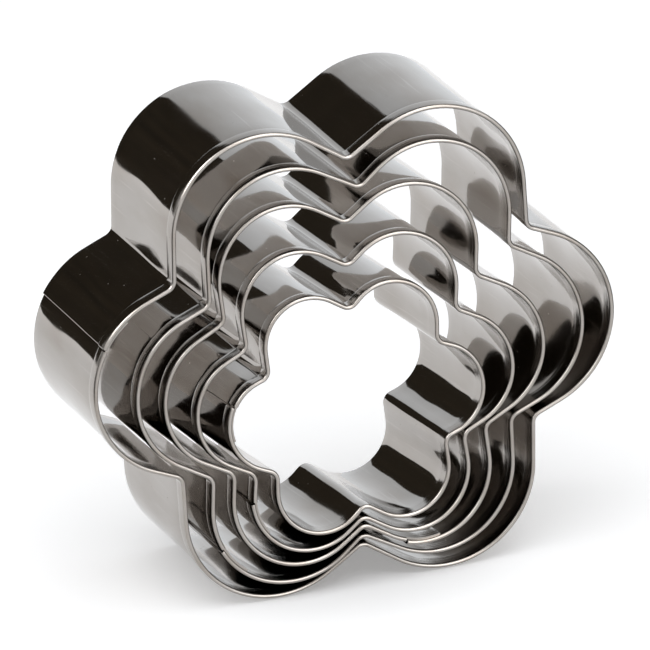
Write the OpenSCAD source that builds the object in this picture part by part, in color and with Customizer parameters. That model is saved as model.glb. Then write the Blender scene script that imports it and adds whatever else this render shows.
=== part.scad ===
// Set of five nested flower cookie cutters, each bent from one strip of sheet steel.
// The set stands on edge: X runs across, Y from the rims back to the cutting edges, Z up.

/* [Set] */
// Tip reach of the largest cutter, from its middle to its strip's middle line
largest_reach = 37.8; // [32:0.1:60]
// How much shorter the tip reach of each next smaller cutter is
size_step = 4.8; // [3:0.1:6]
// Depth of every cutter from its rim to its cutting edge
wall_depth = 25; // [15:0.5:40]

/* [Strip] */
// Thickness of the sheet
sheet = 0.3; // [0.2:0.05:0.5]
// Width of the fold that hems the rim
hem_width = 2.4; // [1.5:0.1:5]
// Space left between the two layers of the fold
hem_gap = 0.06; // [0.04:0.01:0.2]
// Length over which the two ends of a strip lie on each other
seam_overlap = 5; // [2:0.5:6]
// Break in the hem where the outer end of a strip stops
seam_notch = 0.3; // [0.2:0.05:1]

/* [Flower] */
// Radius of a petal, as a share of the tip reach
petal_radius_share = 0.3535; // [0.32:0.0005:0.38]
// Distance from the middle to a valley between petals, as a share of the tip reach
valley_reach_share = 0.781; // [0.76:0.001:0.8]
// Bend radius of a valley
valley_fillet = 1.6; // [1:0.1:2.5]

/* [Nesting] */
// Clearance that each smaller cutter keeps where it rests in the next larger one
seat_gap = 0.15; // [0.1:0.05:0.5]
// Turn of each cutter in the next larger one, in degrees
turns = [0, -0.2, 0.7, 0.2, 0.6];
// Lean of each cutter's cutting edge down from the next larger one, in degrees
leans = [0, 1.5, 2.2, 0.7, 1.3];
// Swing of each cutter's cutting edge to the left of the next larger one, in degrees
swings = [0, 0.3, -0.5, -0.7, 0.1];
// Sideways rest place of each cutter, as a share of the size step
side_shift_shares = [0, 0.18, -0.2, -0.01, 0.02];
// Stretch along X and along the diagonal that handling has left in each flower
stretch_shares = [[0.027, 0], [0.007, 0.028], [-0.007, 0.008], [-0.007, 0.011], [0.01, 0.012]];
// Petal that carries each strip's seam, counted counter-clockwise from the right
seam_petals = [3, 4, 5, 4, 3];
// Place of each seam on its petal, in degrees from the petal's tip
seam_turns = [-30, -32, -47, -58, -30];
// Which end of each strip lies outside: 1 the clockwise end, -1 the other
seam_sides = [1, -1, -1, -1, -1];

/* [Hidden] */
steel = [0.78, 0.78, 0.77];
facets = 96;
fold_facets = 16;
cutters = 5;
petals = 6;
pitch = 360 / petals;
numbers = [0 : cutters - 1];
sides = [0 : petals - 1];
settle_rounds = 12;

// The hem's fold, whose middle and outer face follow from the sheet
fold_inside = hem_gap / 2;
fold_outside = fold_inside + sheet;
fold_middle = sheet / 2 + fold_inside;
hem_reach = fold_middle + fold_outside;

// Neighbouring stretches of one strip run into each other and are slightly thinner there
lap = sheet / 3;
lap_relief = sheet / 30;
weld_share = 0.9;
fillet_limit_share = 0.75;

function along(angle) = [cos(angle), sin(angle)];
function bearing(v) = atan2(v[1], v[0]);
function turned(v, angle) = v[0] * along(angle) + v[1] * along(angle + 90);
function near(angle, goal) = angle + 360 * round((goal - angle) / 360);
function sum_to(values, last) = last < 0 ? 0 : values[last] + sum_to(values, last - 1);

// Sizes of one flower, number 0 being the largest
function reach(n) = largest_reach - n * size_step;
function petal_radius(n) = reach(n) * petal_radius_share;
function petal_orbit(n) = reach(n) - petal_radius(n);
function valley_reach(n) = reach(n) * valley_reach_share;

// Largest bend radius with which a valley still meets both petals
function fillet_limit(n) =
    let (orbit = petal_orbit(n), depth = valley_reach(n), radius = petal_radius(n))
    (orbit ^ 2 + depth ^ 2 - 2 * orbit * depth * cos(pitch / 2) - radius ^ 2)
    / (2 * (radius + orbit * cos(pitch / 2) - depth));
function valley_radius(n) = min(valley_fillet, fillet_limit(n) * fillet_limit_share);

// Centres of the petals and of the valleys' bends, stretched as the flower is
function stretched(n, v) =
    let (s = stretch_shares[n])
    [v[0] * (1 + s[0]) + v[1] * s[1], v[0] * s[1] + v[1] * (1 - s[0])];
petal_centres = [for (n = numbers) [for (k = sides)
    stretched(n, petal_orbit(n) * along(pitch * k))]];
valley_centres = [for (n = numbers) [for (k = sides)
    stretched(n, (valley_reach(n) + valley_radius(n)) * along(pitch * (k + 1 / 2)))]];

// Angles at which each petal's bend leaves the straight flank before it and meets the one after
function tangent_turn(n, v) = acos((petal_radius(n) + valley_radius(n)) / norm(v));
petal_starts = [for (n = numbers) [for (k = sides)
    let (v = valley_centres[n][(k + petals - 1) % petals] - petal_centres[n][k])
    near(bearing(v) + tangent_turn(n, v), pitch * k - 90)]];
petal_ends = [for (n = numbers) [for (k = sides)
    let (v = valley_centres[n][k] - petal_centres[n][k])
    near(bearing(v) - tangent_turn(n, v), pitch * k + 90)]];

// The seam: both ends leave the petal's own curve, one outward and one inward
function seam_angle(n) = pitch * seam_petals[n] + seam_turns[n];
function arc_turn(n, length) = length / petal_radius(n) * 180 / PI;
function outer_root(n) = (seam_sides[n] > 0 ? petal_starts : petal_ends)[n][seam_petals[n]];
function inner_root(n) = (seam_sides[n] > 0 ? petal_ends : petal_starts)[n][seam_petals[n]];
function inner_tip(n) = seam_angle(n) - seam_sides[n] * arc_turn(n, seam_overlap);
function seam_rise(n) =
    let (middle = (seam_angle(n) + inner_tip(n)) / 2)
    weld_share * sheet / (2 - cos(middle - outer_root(n)) - cos(inner_root(n) - middle));

// How far the strip's faces stand outside the petal's plain curve at an angle
function outer_rise(n, angle) = seam_rise(n) * (1 - cos(angle - outer_root(n)));
function inner_rise(n, angle) = -seam_rise(n) * (1 - cos(angle - inner_root(n)));
function outward_rise(n, k, angle) = k != seam_petals[n] ? 0
    : (seam_angle(n) - angle) * seam_sides[n] >= 0 ? outer_rise(n, angle) : inner_rise(n, angle);
function inward_rise(n, k, angle) = k != seam_petals[n] ? 0
    : (angle - inner_tip(n)) * seam_sides[n] >= 0 ? inner_rise(n, angle) : outer_rise(n, angle);

// Signed distance of a point from the face that lies off the strip's middle line,
// above zero outside the flower, taken from the nearest bend or flank
function between(angle, from, to) = (angle - from) * (angle - to) <= 0;
function petal_distance(n, k, point, off) =
    let (v = point - petal_centres[n][k], angle = near(bearing(v), pitch * k))
    between(angle, petal_starts[n][k], petal_ends[n][k])
    ? [norm(v) - petal_radius(n) - off - (off < 0 ? inward_rise(n, k, angle) : 0)] : [];
function valley_distance(n, k, point, off) =
    let (v = point - valley_centres[n][k], angle = near(bearing(v), pitch * (k + 1 / 2) + 180))
    between(angle, valley_start(n, k), valley_end(n, k))
    ? [valley_radius(n) - off - norm(v)] : [];
function flank_distance(from, to, point, off) =
    let (d = to - from, v = point - from, share = (v * d) / (d * d))
    between(share, 0, 1) ? [(v * [d[1], -d[0]]) / norm(d) - off] : [];
function distances(n, point, off) = [for (k = sides) each concat(
    petal_distance(n, k, point, off),
    valley_distance(n, k, point, off),
    flank_distance(petal_end(n, k), valley_entry(n, k), point, off),
    flank_distance(valley_exit(n, k), petal_start(n, k + 1), point, off))];
function face_distance(n, point, off) =
    let (all = distances(n, point, off), least = min([for (d = all) abs(d)]))
    [for (d = all) if (abs(d) == least) d][0];

// Points and angles where the bends and the straight flanks meet
function petal_start(n, k) =
    petal_centres[n][k % petals] + petal_radius(n) * along(petal_starts[n][k % petals]);
function petal_end(n, k) = petal_centres[n][k] + petal_radius(n) * along(petal_ends[n][k]);
function valley_start(n, k) =
    near(petal_starts[n][(k + 1) % petals], pitch * (k + 1)) + 180;
function valley_end(n, k) = petal_ends[n][k] + 180;
function valley_entry(n, k) = valley_centres[n][k] + valley_radius(n) * along(valley_end(n, k));
function valley_exit(n, k) = valley_centres[n][k] + valley_radius(n) * along(valley_start(n, k));

// Least clearance of a cutter in the next larger one, at one depth and for one drop
function section_shift(n, depth, drop) =
    [size_step * side_shift_shares[n] - depth * sin(swings[n]), -drop - depth * sin(leans[n])];
function trial_angles(n, k, shift) =
    let (v = turned(petal_centres[n][k], turns[n]) + shift - petal_centres[n - 1][k],
        facing = near(bearing(v) - turns[n], pitch * k))
    concat([petal_starts[n][k], petal_ends[n][k]],
        [for (angle = [facing, petal_starts[n - 1][k] - turns[n], petal_ends[n - 1][k] - turns[n]])
            if (between(angle, petal_starts[n][k], petal_ends[n][k])) angle],
        k == seam_petals[n] ? [seam_angle(n)] : [],
        k == seam_petals[n - 1] ? [inner_tip(n - 1) - turns[n]] : []);
function section_clearance(n, off, shift) = min(concat(
    [for (k = sides) for (angle = trial_angles(n, k, shift))
        let (radius = petal_radius(n) + off + outward_rise(n, k, angle),
            point = petal_centres[n][k] + radius * along(angle))
        -face_distance(n - 1, turned(point, turns[n]) + shift, -sheet / 2)],
    [for (centre = valley_centres[n - 1])
        face_distance(n, turned(centre - shift, -turns[n]), off)
        - valley_radius(n - 1) - sheet / 2]));
function clearance(n, drop) = min(
    section_clearance(n, hem_reach, section_shift(n, 0, drop)),
    section_clearance(n, hem_reach, section_shift(n, hem_width, drop)),
    section_clearance(n, sheet / 2, section_shift(n, wall_depth, drop)));

// Each cutter sinks in the next larger one until only the seat gap is left
function settled(n, low, high, rounds) =
    let (middle = (low + high) / 2)
    rounds == 0 ? low
    : clearance(n, middle) > seat_gap ? settled(n, middle, high, rounds - 1)
    : settled(n, low, middle, rounds - 1);
drops = [for (n = numbers) n == 0 ? 0 : settled(n, 0, size_step, settle_rounds)];

// The set rests on the largest cutter's two lower petals, on their hem and cutting edge
stand_lean = atan((hem_reach - sheet / 2) / (wall_depth - hem_width));
lowest = min([for (centre = petal_centres[0]) centre[1]]) - petal_radius(0) - hem_reach;
lift = hem_width * sin(stand_lean) - lowest * cos(stand_lean);
depth_middle = wall_depth / 2 * cos(stand_lean + sum_to(leans, cutters - 1))
    - sum_to(drops, cutters - 1) * sin(stand_lean);

// Section of the strip: X outward from its middle line, Y back from the rim
module strip_section(relief, hemmed) {
    front = fold_outside + (hemmed ? 0 : lap);
    translate([relief - sheet / 2, front])
        square([sheet - 2 * relief, wall_depth - relief - front]);
    if (hemmed) {
        translate([fold_middle, fold_outside]) difference() {
            circle(fold_outside - relief, $fn = fold_facets);
            circle(fold_inside + relief, $fn = fold_facets);
            translate([-hem_reach, 0]) square(2 * hem_reach);
        }
        translate([fold_middle + fold_inside + relief, fold_outside])
            square([sheet - 2 * relief, hem_width - relief - fold_outside]);
    }
}

// Bend of the strip, with the hem away from the centre or toward it
module bend(centre, radius, from, to, relief = 0, hemmed = true, inward = false) {
    translate([centre[0], centre[1], 0])
        rotate_extrude(angle = abs(to - from), start = min(from, to), $fn = facets)
            translate([radius, 0]) mirror([inward ? 1 : 0, 0]) strip_section(relief, hemmed);
}

// Straight stretch of the strip, with the hem on its right side
module flank(from, to) {
    length = norm(to - from) + 2 * lap;
    translate([from[0], from[1], 0]) rotate([0, 0, bearing(to - from)]) translate([-lap, 0, 0])
        rotate([90, 0, 90]) linear_extrude(length) mirror([1, 0]) strip_section(lap_relief, true);
}

// Petal with the seam: the hemmed outer end lies on the bare inner end
module seamed_petal(n, k) {
    rise = seam_rise(n);
    notch = seam_angle(n) + seam_sides[n] * arc_turn(n, seam_notch);
    under = notch + seam_sides[n] * arc_turn(n, lap);
    outer = petal_centres[n][k] - rise * along(outer_root(n));
    inner = petal_centres[n][k] + rise * along(inner_root(n));
    bend(outer, petal_radius(n) + rise, outer_root(n), seam_angle(n));
    bend(inner, petal_radius(n) - rise, inner_root(n), notch);
    bend(inner, petal_radius(n) - rise, under, inner_tip(n), lap_relief, false);
}

// One cutter in its own frame, rim in front and the flower upright
module flower_strip(n) {
    mirror([0, 1, 0]) rotate([90, 0, 0]) union() {
        for (k = sides) {
            if (k == seam_petals[n]) seamed_petal(n, k);
            else bend(petal_centres[n][k], petal_radius(n), petal_starts[n][k], petal_ends[n][k]);
            bend(valley_centres[n][k], valley_radius(n), valley_start(n, k), valley_end(n, k),
                inward = true);
            flank(petal_end(n, k), valley_entry(n, k));
            flank(valley_exit(n, k), petal_start(n, k + 1));
        }
    }
}

// Rest place of a cutter, reached through every larger one, with the rims' middles level
module nested(n) {
    if (n == 0) children();
    else nested(n - 1)
        translate([size_step * side_shift_shares[n], drops[n] * tan(sum_to(leans, n - 1)), -drops[n]])
            rotate([0, 0, swings[n]]) rotate([-leans[n], 0, 0]) rotate([0, -turns[n], 0]) children();
}

module placed_cutter(n) {
    translate([0, -depth_middle, lift]) rotate([-stand_lean, 0, 0]) nested(n) flower_strip(n);
}

module largest_cutter() color(steel) placed_cutter(0);
module large_cutter() color(steel) placed_cutter(1);
module middle_cutter() color(steel) placed_cutter(2);
module small_cutter() color(steel) placed_cutter(3);
module smallest_cutter() color(steel) placed_cutter(4);

largest_cutter();
large_cutter();
middle_cutter();
small_cutter();
smallest_cutter();
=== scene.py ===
import math

import bmesh
import bpy
from mathutils import Matrix, Vector, noise


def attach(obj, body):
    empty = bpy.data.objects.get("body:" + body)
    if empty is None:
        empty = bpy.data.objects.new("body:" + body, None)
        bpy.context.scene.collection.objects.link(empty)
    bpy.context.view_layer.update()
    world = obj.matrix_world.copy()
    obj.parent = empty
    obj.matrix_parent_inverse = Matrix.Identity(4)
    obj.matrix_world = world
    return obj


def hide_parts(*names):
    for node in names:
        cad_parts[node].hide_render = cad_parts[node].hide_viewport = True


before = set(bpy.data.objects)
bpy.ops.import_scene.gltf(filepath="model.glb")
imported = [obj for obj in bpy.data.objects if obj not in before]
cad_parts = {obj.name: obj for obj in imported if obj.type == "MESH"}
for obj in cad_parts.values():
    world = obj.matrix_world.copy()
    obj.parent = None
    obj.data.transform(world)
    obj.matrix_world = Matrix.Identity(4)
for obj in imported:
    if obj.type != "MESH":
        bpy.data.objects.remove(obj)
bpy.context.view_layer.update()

millimetre = 0.001
print("frame loaded:", ", ".join(sorted(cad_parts)))


def linear(hexColour):
    # sRGB hex to the linear values that the shaders take
    channels = [int(hexColour[i:i + 2], 16) / 255 for i in (1, 3, 5)]
    return [c / 12.92 if c <= 0.04045 else ((c + 0.055) / 1.055) ** 2.4 for c in channels] + [1.0]


def addNode(tree, kind, settings=None, links=None):
    # one node: settings are its properties, or its sockets by name or number; links go to sockets
    node = tree.nodes.new(kind)
    for name, value in (settings or {}).items():
        if hasattr(node, str(name)):
            setattr(node, name, value)
        else:
            node.inputs[name].default_value = value
    for socket, source in (links or {}).items():
        tree.links.new(source, node.inputs[socket])
    return node


def emptyMaterial(name):
    material = bpy.data.materials.new(name)
    material.use_nodes = True
    material.node_tree.nodes.clear()
    return material


# the photograph's camera: where it looks, from where, and its lens
camera = {
    "target": (0.0, -0.012287, 0.034498),    # middle of the largest rim
    "azimuth": -20.797,                      # degrees, 0 looks along +Y
    "elevation": 21.853,
    "roll": -1.899,
    "distance": 1.7655,
    "focalPixels": 12741.8,                  # focal length in pixels of the picture
    "pictureWidth": 650,
    "offCentre": (30.97, 27.97),             # pixels right of and below the picture's middle
    "sensor": 36.0,
    "clip": (0.01, 20.0),
}


def makeCamera(c):
    azimuth = math.radians(c["azimuth"])
    elevation = math.radians(c["elevation"])
    back = Vector((
        math.sin(azimuth) * math.cos(elevation),
        -math.cos(azimuth) * math.cos(elevation),
        math.sin(elevation),
    ))
    data = bpy.data.cameras.new("photoCamera")
    data.sensor_width = c["sensor"]
    data.lens = c["focalPixels"] / c["pictureWidth"] * c["sensor"]
    data.shift_x = -c["offCentre"][0] / c["pictureWidth"]
    data.shift_y = c["offCentre"][1] / c["pictureWidth"]
    data.clip_start, data.clip_end = c["clip"]
    item = bpy.data.objects.new("photoCamera", data)
    bpy.context.scene.collection.objects.link(item)
    turn = (-back).to_track_quat("-Z", "Y").to_matrix().to_4x4()
    roll = Matrix.Rotation(math.radians(c["roll"]), 4, "Z")
    item.matrix_world = Matrix.Translation(Vector(c["target"]) + back * c["distance"]) @ turn @ roll
    bpy.context.scene.camera = item


makeCamera(camera)
print("camera set")

# stainless steel, AISI 304, cold rolled and bright polished: to the eye a slightly warm mirror, with
# soft dents from bending, hazy smears, fine streaks across the strip, dust specks, the rollers'
# lines on the hem, and a duller fold along the rim
steel = {
    "colour": "#a09b96",
    "stain": "#938b83",       # where handling has left it browner
    "streak": "#aca7a2",
    "roughness": 0.06,
    "smearRoughness": 0.13,
    "streakRoughness": 0.16,
    "rimRoughness": 0.3,
    "hemRoughness": 0.1,
    "dustRoughness": 0.45,
    # each noise: mm along the strip, mm across it, and its detail
    "smearSize": (8.0, 22.0, 3.0),
    "streakSize": (0.5, 16.0, 2.0),         # real polishing lines are nearer 0.02 and would not show
    "grainSize": (9.0, 0.3, 2.0),           # rolling lines, coarser than the real 0.02
    "hemLineSize": (14.0, 0.3, 2.0),        # drawn by the rollers that pressed the hem
    "dentSize": (3.2, 9.0, 1.0),
    # the parts of a noise's range over which each sets in
    "stainRange": (0.45, 0.75),
    "smearRange": (0.5, 0.7),
    "streakRange": (0.6, 0.82),
    # mm back from the rim
    "rimDepth": (0.26, 0.5),  # where the dull fold turns bright
    "hemDepth": 2.5,
    "hemFade": 0.3,
    # mm high, and the dust's spacing and size
    "grainHeight": 0.0003,
    "hemLineHeight": 0.02,
    "dentHeight": 0.02,
    "dustSpacing": 2.6,
    "dustRadius": 0.07,       # larger than most real specks, so that it shows
    "dustSoftness": 1.6,      # how much wider a speck is where it ends
}


def polishedStainless(name, s):
    material = emptyMaterial(name)
    tree = material.node_tree
    place = addNode(tree, "ShaderNodeAttribute", {"attribute_name": "strip"}).outputs["Vector"]
    depth = addNode(tree, "ShaderNodeSeparateXYZ", links={"Vector": place}).outputs["Y"]
    noises = {}
    for kind in ("smear", "streak", "grain", "hemLine", "dent"):
        length, width, detail = s[kind + "Size"]
        sized = addNode(
            tree, "ShaderNodeVectorMath",
            {"operation": "MULTIPLY", 1: (1 / length, 1 / width, 1.0)}, {0: place},
        )
        found = addNode(
            tree, "ShaderNodeTexNoise", {"Scale": 1.0, "Detail": detail}, {"Vector": sized.outputs[0]},
        )
        noises[kind] = found.outputs["Fac"]
    specks = addNode(tree, "ShaderNodeTexVoronoi", {"Scale": 1 / s["dustSpacing"]}, {"Vector": place})
    speckRadius = s["dustRadius"] / s["dustSpacing"]
    speckEdge = (speckRadius, speckRadius * s["dustSoftness"])
    hemEnd = (s["hemDepth"], s["hemDepth"] + s["hemFade"])

    # each share or roughness follows a pattern or the depth between two limits
    ranged = {}
    for key, source, limits, results in (
        ("stained", noises["smear"], s["stainRange"], (0.0, 1.0)),
        ("streaked", noises["streak"], s["streakRange"], (0.0, 1.0)),
        ("hemmed", depth, hemEnd, (1.0, 0.0)),
        ("smearRough", noises["smear"], s["smearRange"], (s["roughness"], s["smearRoughness"])),
        ("streakRough", noises["streak"], s["streakRange"], (s["roughness"], s["streakRoughness"])),
        ("rimRough", depth, s["rimDepth"], (s["rimRoughness"], 0.0)),
        ("hemRough", depth, hemEnd, (s["hemRoughness"], 0.0)),
        ("dustRough", specks.outputs["Distance"], speckEdge, (s["dustRoughness"], 0.0)),
    ):
        node = addNode(
            tree, "ShaderNodeMapRange",
            {"From Min": limits[0], "From Max": limits[1], "To Min": results[0], "To Max": results[1]},
            {"Value": source},
        )
        ranged[key] = node.outputs["Result"]

    rough = ranged["smearRough"]
    for key in ("streakRough", "rimRough", "hemRough", "dustRough"):
        rough = addNode(
            tree, "ShaderNodeMath", {"operation": "MAXIMUM"}, {0: rough, 1: ranged[key]},
        ).outputs[0]
    bare = addNode(
        tree, "ShaderNodeMix", {"data_type": "RGBA", 6: linear(s["colour"]), 7: linear(s["stain"])},
        {0: ranged["stained"]},
    )
    colour = addNode(
        tree, "ShaderNodeMix", {"data_type": "RGBA", 7: linear(s["streak"])},
        {0: ranged["streaked"], 6: bare.outputs[2]},
    )
    grain = addNode(
        tree, "ShaderNodeBump", {"Strength": 1.0, "Distance": s["grainHeight"] * millimetre},
        {"Height": noises["grain"]},
    )
    hemLines = addNode(
        tree, "ShaderNodeBump", {"Distance": s["hemLineHeight"] * millimetre},
        {"Strength": ranged["hemmed"], "Height": noises["hemLine"], "Normal": grain.outputs[0]},
    )
    dents = addNode(
        tree, "ShaderNodeBump", {"Strength": 1.0, "Distance": s["dentHeight"] * millimetre},
        {"Height": noises["dent"], "Normal": hemLines.outputs[0]},
    )
    shader = addNode(
        tree, "ShaderNodeBsdfPrincipled", {"Metallic": 1.0},
        {"Base Color": colour.outputs[2], "Roughness": rough, "Normal": dents.outputs[0]},
    )
    addNode(tree, "ShaderNodeOutputMaterial", links={"Surface": shader.outputs["BSDF"]})
    return material


# sizes that all five cutters share, in millimetres, as the solids have them
strip = {
    "largestReach": 37.8,
    "sizeStep": 4.8,
    "depth": 25.0,
    "sheet": 0.3,
    "hemWidth": 2.4,
    "hemGap": 0.06,
    "overlap": 5.0,
    "notch": 0.3,
    "petals": 6,
    "petalRadiusShare": 0.3535,     # of the reach
    "valleyReachShare": 0.781,
    "valleyFillet": 1.6,
    "valleyTurn": 60.0,       # degrees, roughly, that the strip turns back in a valley
    "filletLimitShare": 0.75,       # of the widest fillet that fits
    "weldShare": 1.02,        # how many sheets the two ends lie apart
    "pinch": 0.16,            # how far the hem draws the wall in
    "pinchLength": 1.3,
    "pinchSpan": 3,           # pinch lengths behind the hem that get finer steps
    "hemCrown": (0.03, 0.05),       # how far the hem's outer layer falls off before and after its crest
    "crestDepth": 1.25,
    # the sheared edges are rolled over: how far from the edge, and how far the face has dropped there
    "roll": ((0.24, 0.0), (0.16, 0.01), (0.08, 0.04), (0.0, 0.1)),
    "endRollShare": 0.5,      # of that roll, at the strip's two ends
    "thinShare": 0.4,         # of the thickness, the most that one face drops there
    "waveHeight": 0.2,        # waves that the bending left in the wall
    "waveWidth": 7.0,
    "waveLength": 9.0,
    "waveAtHem": 0.25,        # share of the waves that the hem lets through
    "waveStep": 7.7,          # sets the waves of one cutter apart from the next one's
    "patternStep": 10.0,      # the same for the steel's patterns
    "lift": 0.018,            # keeps the lowest wave on the floor
    "sharpAngle": 40.0,       # degrees above which an edge is shaded as sharp
    "sameAngle": 0.001,       # degrees within which a station is at the notch
    "petalStep": 4.0,         # degrees between two stations on a petal
    "valleyStep": 9.0,
    "wallSteps": 10,
    "pinchSteps": 8,
    "foldSteps": 12,
    "hemSteps": 6,
}

# each cutter: its number from the outside, how it leans in the next larger one in degrees, how far
# it is out of round, and the petal, place and side of its seam
cutters = {
    "largest_cutter": {
        "number": 0, "turn": 0.0, "lean": 0.0, "swing": 0.0, "stretch": (0.027, 0.0),
        "seamPetal": 3, "seamTurn": -30.0, "seamSide": 1,
    },
    "large_cutter": {
        "number": 1, "turn": -0.2, "lean": 1.5, "swing": 0.3, "stretch": (0.007, 0.028),
        "seamPetal": 4, "seamTurn": -32.0, "seamSide": -1,
    },
    "middle_cutter": {
        "number": 2, "turn": 0.7, "lean": 2.2, "swing": -0.5, "stretch": (-0.007, 0.008),
        "seamPetal": 5, "seamTurn": -47.0, "seamSide": -1,
    },
    "small_cutter": {
        "number": 3, "turn": 0.2, "lean": 0.7, "swing": -0.7, "stretch": (-0.007, 0.011),
        "seamPetal": 4, "seamTurn": -58.0, "seamSide": -1,
    },
    "smallest_cutter": {
        "number": 4, "turn": 0.6, "lean": 1.3, "swing": 0.1, "stretch": (0.01, 0.012),
        "seamPetal": 3, "seamTurn": -30.0, "seamSide": -1,
    },
}


def along(angle):
    # the unit direction at an angle in degrees
    return Vector((math.cos(math.radians(angle)), math.sin(math.radians(angle))))


def bearing(v):
    return math.degrees(math.atan2(v.y, v.x))


def nearTo(angle, goal):
    # the same direction, by whole turns as near to the goal as can be
    return angle + 360 * round((goal - angle) / 360)


def spread(low, high, step):
    # evenly spaced values from low to high, about a step apart
    count = max(1, math.ceil(abs(high - low) / step))
    return [low + (high - low) * i / count for i in range(count + 1)]


def flowerLine(s, c):
    # the strip's middle line from one end to the other, counter-clockwise: stations of
    # (point, outward direction, hemmed, how far the sheared end has dropped there)
    pitch = 360 / s["petals"]
    reach = s["largestReach"] - c["number"] * s["sizeStep"]
    petalRadius = reach * s["petalRadiusShare"]
    orbit = reach - petalRadius
    valleyReach = reach * s["valleyReachShare"]
    halfCosine = math.cos(math.radians(pitch / 2))
    limit = orbit ** 2 + valleyReach ** 2 - 2 * orbit * valleyReach * halfCosine - petalRadius ** 2
    limit /= 2 * (petalRadius + orbit * halfCosine - valleyReach)
    valleyRadius = min(s["valleyFillet"], limit * s["filletLimitShare"])
    sx, sd = c["stretch"]

    def stretched(v):
        return Vector((v.x * (1 + sx) + v.y * sd, v.x * sd + v.y * (1 - sx)))

    petalCentre = [stretched(orbit * along(pitch * k)) for k in range(s["petals"])]
    valleyCentre = [
        stretched((valleyReach + valleyRadius) * along(pitch * (k + 0.5))) for k in range(s["petals"])
    ]

    def tangentTurn(v):
        # from the line between two centres to the point where their arcs meet
        return math.degrees(math.acos((petalRadius + valleyRadius) / v.length))

    starts, ends = [], []
    for k in range(s["petals"]):
        before = valleyCentre[k - 1] - petalCentre[k]
        after = valleyCentre[k] - petalCentre[k]
        starts.append(nearTo(bearing(before) + tangentTurn(before), pitch * k - 90))
        ends.append(nearTo(bearing(after) - tangentTurn(after), pitch * k + 90))

    # the two ends lie on each other on the seam's petal, one risen outward and one inward
    seamPetal, side = c["seamPetal"], c["seamSide"]
    degreesPerLength = math.degrees(1 / petalRadius)
    seam = pitch * seamPetal + c["seamTurn"]
    innerTip = seam - side * s["overlap"] * degreesPerLength
    notch = seam + side * s["notch"] * degreesPerLength
    first, last = (innerTip, seam) if side > 0 else (seam, innerTip)
    middle = math.radians((seam + innerTip) / 2)
    start, end = starts[seamPetal], ends[seamPetal]
    rise = s["weldShare"] * s["sheet"] / (
        2 - math.cos(middle - math.radians(start)) - math.cos(math.radians(end) - middle)
    )
    stations = []

    def addPetal(k, low, high, root=None, sign=0):
        angles = spread(low, high, s["petalStep"])
        if root is not None and low < notch < high:
            angles = spread(low, notch, s["petalStep"]) + spread(notch, high, s["petalStep"])[1:]
        for angle in angles:
            lifted = sign * rise * (1 - math.cos(math.radians(angle - root))) if root is not None else 0.0
            hemmed = sign >= 0 or (angle - notch) * side >= -s["sameAngle"]
            out = along(angle)
            stations.append((petalCentre[k] + (petalRadius + lifted) * out, out, hemmed, 0.0))

    addPetal(seamPetal, first, end, end, -side)
    for step in range(s["petals"]):
        k = (seamPetal + step) % s["petals"]
        after = (k + 1) % s["petals"]
        leave = ends[k] + 180
        arrive = nearTo(starts[after], pitch * (k + 1)) + 180
        for angle in spread(leave, nearTo(arrive, leave - s["valleyTurn"]), s["valleyStep"]):
            out = along(angle)
            stations.append((valleyCentre[k] + valleyRadius * out, -out, True, 0.0))
        if step < s["petals"] - 1:
            addPetal(after, starts[after], ends[after])
    addPetal(seamPetal, start, last, start, side)

    # the two sheared ends, rolled over
    share = s["endRollShare"]
    for at, beyond in ((0, 1), (-1, -2)):
        tip, out, hemmed, _ = stations[at]
        inward = (stations[beyond][0] - tip).normalized()
        rolled = [(tip + inward * back * share, out, hemmed, drop * share) for back, drop in s["roll"]]
        stations = rolled[::-1] + stations[1:] if at == 0 else stations[:-1] + rolled
    return stations


def stripSection(s):
    # the strip in section, from the cutting edge over the fold to the hem's edge: pairs of points on
    # its two faces, x outward and y back from the rim; face 0 is inside the wall and outside the hem
    half = s["sheet"] / 2
    foldRadius = half + s["hemGap"] / 2
    foldDepth = foldRadius + half
    crest, hem = s["crestDepth"], s["hemWidth"]
    before, after = s["hemCrown"]
    nearHem = hem + s["pinchSpan"] * s["pinchLength"]
    rollDepth = s["roll"][0][0]
    wallEnd, hemEnd = s["depth"] - rollDepth, hem - rollDepth

    # the line between the faces: x, y, and how far each face has dropped towards it
    line = [(0.0, s["depth"] - back, drop, drop) for back, drop in s["roll"][::-1]]
    line += [(0.0, y, 0.0, 0.0) for y in spread(wallEnd, nearHem, (wallEnd - nearHem) / s["wallSteps"])[1:]]
    line += [(0.0, y, 0.0, 0.0) for y in spread(nearHem, hem, (nearHem - hem) / s["pinchSteps"])[1:]]
    line += [(0.0, hem / 2, 0.0, 0.0), (0.0, foldDepth + half, 0.0, 0.0)]
    wallCount = len(line)
    foldWidth = foldRadius - before / 2
    for degrees in spread(0, 180, 180 / s["foldSteps"]):
        x = foldWidth * (1 - math.cos(math.radians(degrees)))
        line.append((x, foldDepth - foldRadius * math.sin(math.radians(degrees)), 0.0, 0.0))

    def crowned(y):
        if y < crest:
            fall = before * ((crest - y) / (crest - foldDepth)) ** 2
        else:
            fall = after * ((y - crest) / (hem - crest)) ** 2
        return 2 * foldRadius - fall

    hemLine = spread(foldDepth, hemEnd, (hemEnd - foldDepth) / s["hemSteps"])[1:-1]
    line += [(crowned(y), y, 0.0, 0.0) for y in hemLine]
    line += [(crowned(hem - back), hem - back, drop, 0.0) for back, drop in s["roll"]]
    pairs = []
    for i, (x, y, drop, otherDrop) in enumerate(line):
        a, b = line[max(i - 1, 0)], line[min(i + 1, len(line) - 1)]
        run = Vector((b[0] - a[0], b[1] - a[1])).normalized()
        out = Vector((run.y, -run.x))
        reach, otherReach = half - drop, half - otherDrop
        pairs.append((
            (x + out.x * reach, y + out.y * reach),
            (x - out.x * otherReach, y - out.y * otherReach),
        ))
    return pairs, wallCount


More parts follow.
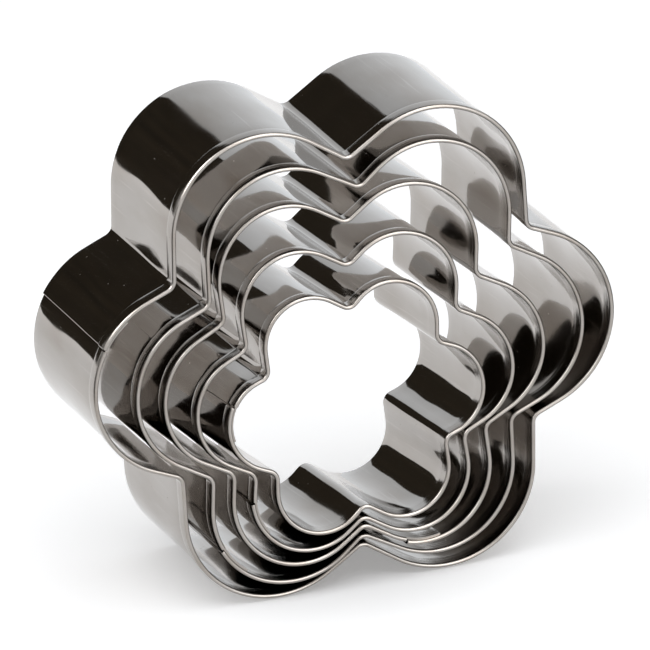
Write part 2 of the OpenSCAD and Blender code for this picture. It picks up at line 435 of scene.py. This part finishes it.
def wallShift(s, c, run, y):
    # how far the wall stands off its plain curve: drawn in at the hem, with faint waves
    drawn = math.exp(-max(0.0, y - s["hemWidth"]) / s["pinchLength"])
    place = Vector((run / s["waveWidth"], y / s["waveLength"], c["number"] * s["waveStep"]))
    wave = s["waveHeight"] * (1 - (1 - s["waveAtHem"]) * drawn)
    return s["pinch"] * (0.5 - drawn) + wave * (noise.noise(place) - 1) / 2


def thinned(s, pair, drop):
    # the two faces drawn towards each other
    a, b = Vector(pair[0]), Vector(pair[1])
    toward = (b - a).normalized() * min(drop, (b - a).length * s["thinShare"])
    return a + toward, b - toward


def makeStrip(s, c):
    # the section set at each station: points in mm, the steel's pattern place at each, and faces
    stations = flowerLine(s, c)
    pairs, wallCount = stripSection(s)
    points, runs, faces = [], [], []
    run = 0.0
    for i, (middle, out, hemmed, drop) in enumerate(stations):
        if i:
            run += (middle - stations[i - 1][0]).length
        for pair in pairs:
            for x, y in thinned(s, pair, drop):
                at = middle + out * (x + wallShift(s, c, run, y))
                points.append(Vector((at.x, y, at.y)))
                runs.append((run, y, c["number"] * s["patternStep"]))
    width = 2 * len(pairs)

    def corner(i, j, face):
        return i * width + 2 * j + face

    def span(i):
        return len(pairs) if stations[i][2] else wallCount

    def close(i, first, last, turned):
        # the flat end of the section at a station
        for j in range(first, last):
            cap = (corner(i, j, 0), corner(i, j + 1, 0), corner(i, j + 1, 1), corner(i, j, 1))
            faces.append(cap[::-1] if turned else cap)

    for i in range(len(stations) - 1):
        count = min(span(i), span(i + 1))
        for j in range(count - 1):
            faces.append((corner(i, j, 0), corner(i, j + 1, 0), corner(i + 1, j + 1, 0), corner(i + 1, j, 0)))
            faces.append((corner(i, j, 1), corner(i + 1, j, 1), corner(i + 1, j + 1, 1), corner(i, j + 1, 1)))
        tip = count - 1
        faces.append((corner(i, 0, 0), corner(i + 1, 0, 0), corner(i + 1, 0, 1), corner(i, 0, 1)))
        faces.append((corner(i, tip, 1), corner(i + 1, tip, 1), corner(i + 1, tip, 0), corner(i, tip, 0)))
        if span(i) != span(i + 1):
            hemStart = i if span(i) > span(i + 1) else i + 1
            close(hemStart, wallCount - 1, len(pairs) - 1, hemStart != i)
    for i, turned in ((0, True), (len(stations) - 1, False)):
        close(i, 0, span(i) - 1, turned)
    return points, runs, faces


def placeInFrame(name, s, points, lean):
    # the solid of the same cutter says where it stands: round the same middle, its back edge level
    solid = [lean.transposed() @ v.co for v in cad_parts[name].data.vertices]
    there = [[p[axis] for p in solid] for axis in range(3)]
    here = [[p[axis] * millimetre for p in points] for axis in range(3)]
    offset = Vector((
        (min(there[0]) + max(there[0]) - min(here[0]) - max(here[0])) / 2,
        max(there[1]) - max(here[1]),
        (min(there[2]) + max(there[2]) - min(here[2]) - max(here[2])) / 2 + s["lift"] * millimetre,
    ))
    return [lean @ (p * millimetre + offset) for p in points]


def makeCutter(name, s, c, lean, material):
    points, runs, faces = makeStrip(s, c)
    mesh = bpy.data.meshes.new(name + "Sheet")
    mesh.from_pydata(placeInFrame(name, s, points, lean), [], faces)
    attribute = mesh.attributes.new("strip", "FLOAT_VECTOR", "POINT")
    attribute.data.foreach_set("vector", [value for run in runs for value in run])
    trimmed = bmesh.new()     # where the inner end has no hem, the hem's points go
    trimmed.from_mesh(mesh)
    loose = [v for v in trimmed.verts if not v.link_faces]
    bmesh.ops.delete(trimmed, geom=loose, context="VERTS")
    trimmed.to_mesh(mesh)
    trimmed.free()
    mesh.shade_smooth()
    mesh.set_sharp_from_angle(angle=math.radians(s["sharpAngle"]))
    mesh.materials.append(material)
    piece = bpy.data.objects.new(name + "Sheet", mesh)
    bpy.context.scene.collection.objects.link(piece)
    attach(piece, name)
    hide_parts(name)


# the largest cutter stands on its hem and its back edge, and each smaller one leans from there
foldReach = strip["sheet"] + strip["hemGap"]
standLean = math.atan(foldReach / (strip["depth"] - strip["hemWidth"]))
steelMaterial = polishedStainless("polishedStainless", steel)
lean = Matrix.Rotation(-standLean, 3, "X")
for name, c in cutters.items():
    lean = lean @ Matrix.Rotation(math.radians(c["swing"]), 3, "Z")
    lean = lean @ Matrix.Rotation(math.radians(-c["lean"]), 3, "X")
    lean = lean @ Matrix.Rotation(math.radians(-c["turn"]), 3, "Y")
    makeCutter(name, strip, c, lean, steelMaterial)
    print("made", name)


# the studio, in metres: a pale floor and a white surround, and for the metal's reflections a black
# flag behind to the left, a soft light behind to the right that fades away from its middle, a dark
# board beside it and one over the set, and two dark cards close beside the object
studio = {
    "floorWidth": 1.2,
    "floorColour": "#eeeff1",
    "floorGlow": 0.26,        # light of its own, seen by the camera and in the metal only
    "glowAroundPaintedShadow": (0.01, 0.032, 0.2),         # from and to which distance from the middle the glow grows, and by how much; the lower glow close round the object paints a shadow there
    "glowFar": (0.15, 0.55, 0.3),           # again, where the lamps reach less
    "ambient": 0.28,          # the surround as a light; where it is seen, it is 1
    "backDistance": 0.45,
    "leftReach": -0.34,       # from here to rightReach the boards and the light stand
    "rightReach": 0.52,
    "boardHeight": 0.5,
    "flagEdge": -0.022,       # how far left of the middle the flag ends
    "lightEdge": 0.32,
    # the colours that the flag and the boards glow with: painted light, seen in the metal only
    "flagColours": ("#262420", "#423b31"),
    "flagPatch": 0.05,
    "flagDetail": 2.0,
    "boardColour": "#1f1d1b",
    "topBoardFront": 0.13,
    "lightMiddle": (0.34, 0.04),
    "lightNear": 0.15,        # distance from its middle up to which the light is even
    "lightFar": 0.45,
    "lightStrength": (1.2, 0.8),
    "lightTop": (0.34, 0.42),       # heights between which it dims
    "lightAbove": 0.04,       # share left above them
    "lightColour": "#f3f8fd",
    "cardDistance": 0.11,     # of each card from the middle
    "cardFront": -0.05,
    "cardBack": 0.09,
    "cardHeight": 0.1,
}


def makePlate(name, corners, material, **rays):
    mesh = bpy.data.meshes.new(name)
    mesh.from_pydata([Vector(p) for p in corners], [], [tuple(range(len(corners)))])
    mesh.materials.append(material)
    plate = bpy.data.objects.new(name, mesh)
    bpy.context.scene.collection.objects.link(plate)
    for ray, seen in rays.items():
        setattr(plate, "visible_" + ray, seen)


def shownRays(tree):
    # 1 for the rays that show the background: to the camera, and in metal and glass
    seen = addNode(tree, "ShaderNodeLightPath")
    direct = addNode(
        tree, "ShaderNodeMath", {"operation": "ADD"},
        {0: seen.outputs["Is Camera Ray"], 1: seen.outputs["Is Glossy Ray"]},
    )
    shown = addNode(
        tree, "ShaderNodeMath", {"operation": "ADD", "use_clamp": True},
        {0: direct.outputs[0], 1: seen.outputs["Is Transmission Ray"]},
    )
    return shown.outputs[0]


def paleFloor(s):
    # white painted board, matt: it takes soft shadows, and glows as the background does; the glow is weaker
    # close round the middle, which paints a darker shadow there
    material = emptyMaterial("paleFloor")
    tree = material.node_tree
    place = addNode(tree, "ShaderNodeTexCoord").outputs["Object"]
    away = addNode(tree, "ShaderNodeVectorMath", {"operation": "LENGTH"}, {0: place})
    shown = shownRays(tree)
    strength = addNode(tree, "ShaderNodeMath", {"operation": "MULTIPLY", 1: s["floorGlow"]}, {0: shown})
    # the glow grows away from the middle: close to the object it stays low, a painted shadow, and far off it
    # makes up for where the lamps reach less
    for first, last, growth in (s["glowAroundPaintedShadow"], s["glowFar"]):
        grown = addNode(
            tree, "ShaderNodeMapRange",
            {"interpolation_type": "SMOOTHSTEP", "From Min": first, "From Max": last,
             "To Min": 0.0, "To Max": growth},
            {"Value": away.outputs["Value"]},
        )
        strength = addNode(
            tree, "ShaderNodeMath", {"operation": "MULTIPLY_ADD"},
            {0: shown, 1: grown.outputs[0], 2: strength.outputs[0]},
        )
    diffuse = addNode(tree, "ShaderNodeBsdfDiffuse", {"Color": linear(s["floorColour"])})
    glow = addNode(tree, "ShaderNodeEmission", links={"Strength": strength.outputs[0]})
    both = addNode(tree, "ShaderNodeAddShader", links={0: diffuse.outputs[0], 1: glow.outputs[0]})
    addNode(tree, "ShaderNodeOutputMaterial", links={"Surface": both.outputs[0]})
    return material


def blackFlag(name, colours, s):
    # matt black cloth, a little uneven: the faint light it sends back is painted, as a glow of its own that
    # only the metal sees
    material = emptyMaterial(name)
    tree = material.node_tree
    place = addNode(tree, "ShaderNodeTexCoord").outputs["Object"]
    uneven = addNode(
        tree, "ShaderNodeTexNoise",
        {"Scale": 1 / s["flagPatch"], "Detail": s["flagDetail"]}, {"Vector": place},
    )
    mix = addNode(
        tree, "ShaderNodeMix", {"data_type": "RGBA", 6: linear(colours[0]), 7: linear(colours[1])},
        {0: uneven.outputs["Fac"]},
    )
    glow = addNode(tree, "ShaderNodeEmission", links={"Color": mix.outputs[2]})
    addNode(tree, "ShaderNodeOutputMaterial", links={"Surface": glow.outputs[0]})
    return material


def softLight(s):
    # a lit cloth, brightest round its middle
    material = emptyMaterial("softLight")
    tree = material.node_tree
    place = addNode(tree, "ShaderNodeTexCoord").outputs["Object"]
    middle = (s["lightMiddle"][0], s["backDistance"], s["lightMiddle"][1])
    away = addNode(tree, "ShaderNodeVectorMath", {"operation": "DISTANCE", 1: middle}, {0: place})
    even = addNode(
        tree, "ShaderNodeMapRange",
        {"From Min": s["lightNear"], "From Max": s["lightFar"],
         "To Min": s["lightStrength"][0], "To Max": s["lightStrength"][1]},
        {"Value": away.outputs["Value"]},
    )
    height = addNode(tree, "ShaderNodeSeparateXYZ", links={"Vector": place})
    top = addNode(
        tree, "ShaderNodeMapRange",
        {"From Min": s["lightTop"][0], "From Max": s["lightTop"][1],
         "To Min": 1.0, "To Max": s["lightAbove"]},
        {"Value": height.outputs["Z"]},
    )
    strength = addNode(
        tree, "ShaderNodeMath", {"operation": "MULTIPLY"}, {0: even.outputs[0], 1: top.outputs[0]},
    )
    glow = addNode(
        tree, "ShaderNodeEmission", {"Color": linear(s["lightColour"])}, {"Strength": strength.outputs[0]},
    )
    addNode(tree, "ShaderNodeOutputMaterial", links={"Surface": glow.outputs[0]})
    return material


def standing(x0, y0, x1, y1, height):
    # the corners of an upright plate over a line on the floor
    return [(x0, y0, 0), (x1, y1, 0), (x1, y1, height), (x0, y0, height)]


def lying(x0, x1, y0, y1, z):
    # and of a level one
    return [(x0, y0, z), (x1, y0, z), (x1, y1, z), (x0, y1, z)]


def makeStudio(s):
    floorReach = s["floorWidth"] / 2
    makePlate("floor", lying(-floorReach, floorReach, -floorReach, floorReach, 0), paleFloor(s))
    flag = blackFlag("blackFlag", s["flagColours"], s)
    board = blackFlag("darkBoard", (s["boardColour"],) * 2, s)
    back, height, side = s["backDistance"], s["boardHeight"], s["cardDistance"]
    left, right = s["leftReach"], s["rightReach"]
    plates = {
        "flag": (standing(left, back, s["flagEdge"], back, height), flag),
        "softLight": (standing(s["flagEdge"], back, s["lightEdge"], back, height), softLight(s)),
        "rightBoard": (standing(s["lightEdge"], back, right, back, height), board),
        "topBoard": (lying(left, right, s["topBoardFront"], back, height), board),
        "leftCard": (standing(-side, s["cardFront"], -side, s["cardBack"], s["cardHeight"]), board),
        "rightCard": (standing(side, s["cardFront"], side, s["cardBack"], s["cardHeight"]), board),
    }
    for name, (corners, material) in plates.items():
        makePlate(name, corners, material, camera=False, diffuse=False, shadow=False, transmission=False)


makeStudio(studio)

world = bpy.data.worlds.new("studio")
bpy.context.scene.world = world
world.use_nodes = True
tree = world.node_tree
tree.nodes.clear()
strength = addNode(
    tree, "ShaderNodeMapRange", {"To Min": studio["ambient"], "To Max": 1.0}, {"Value": shownRays(tree)},
)
background = addNode(tree, "ShaderNodeBackground", {"Color": (1, 1, 1, 1)}, {"Strength": strength.outputs[0]})
addNode(tree, "ShaderNodeOutputWorld", links={"Surface": background.outputs[0]})


# three soft boxes are seen in the metal alone, where they give the rims their bright line, and
# three lamps light the floor alone, for its soft shadows; places and sizes in metres, power in watts
lamps = {
    "topBox": {"place": (0.15, -0.3, 0.8), "size": 0.6, "power": 4.6, "floor": False},
    "frontBox": {"place": (0.36, -0.75, 0.33), "size": 0.6, "power": 4.2, "floor": False},
    "leftBox": {"place": (-0.4, 0.0, 0.35), "size": 0.4, "power": 4.2, "floor": False},
    "overhead": {"place": (-0.12, -0.2, 0.8), "size": 0.85, "power": 4.3, "floor": True},
    "backRight": {"place": (0.3, 0.35, 0.5), "size": 0.7, "power": 0.15, "floor": True},
    "left": {"place": (-0.45, -0.2, 0.6), "size": 0.7, "power": 0.15, "floor": True},
}


def makeLamp(name, lamp):
    data = bpy.data.lights.new(name, "AREA")
    data.shape = "SQUARE"
    data.size = lamp["size"]
    data.energy = lamp["power"]
    item = bpy.data.objects.new(name, data)
    bpy.context.scene.collection.objects.link(item)
    item.location = lamp["place"]
    item.rotation_mode = "QUATERNION"
    item.rotation_quaternion = (-Vector(lamp["place"])).to_track_quat("-Z", "Y")    # aimed at the middle
    item.visible_glossy = not lamp["floor"]
    item.visible_diffuse = lamp["floor"]


for name, lamp in lamps.items():
    makeLamp(name, lamp)

scene = bpy.context.scene
scene.view_settings.view_transform = "Standard"

print("studio set")
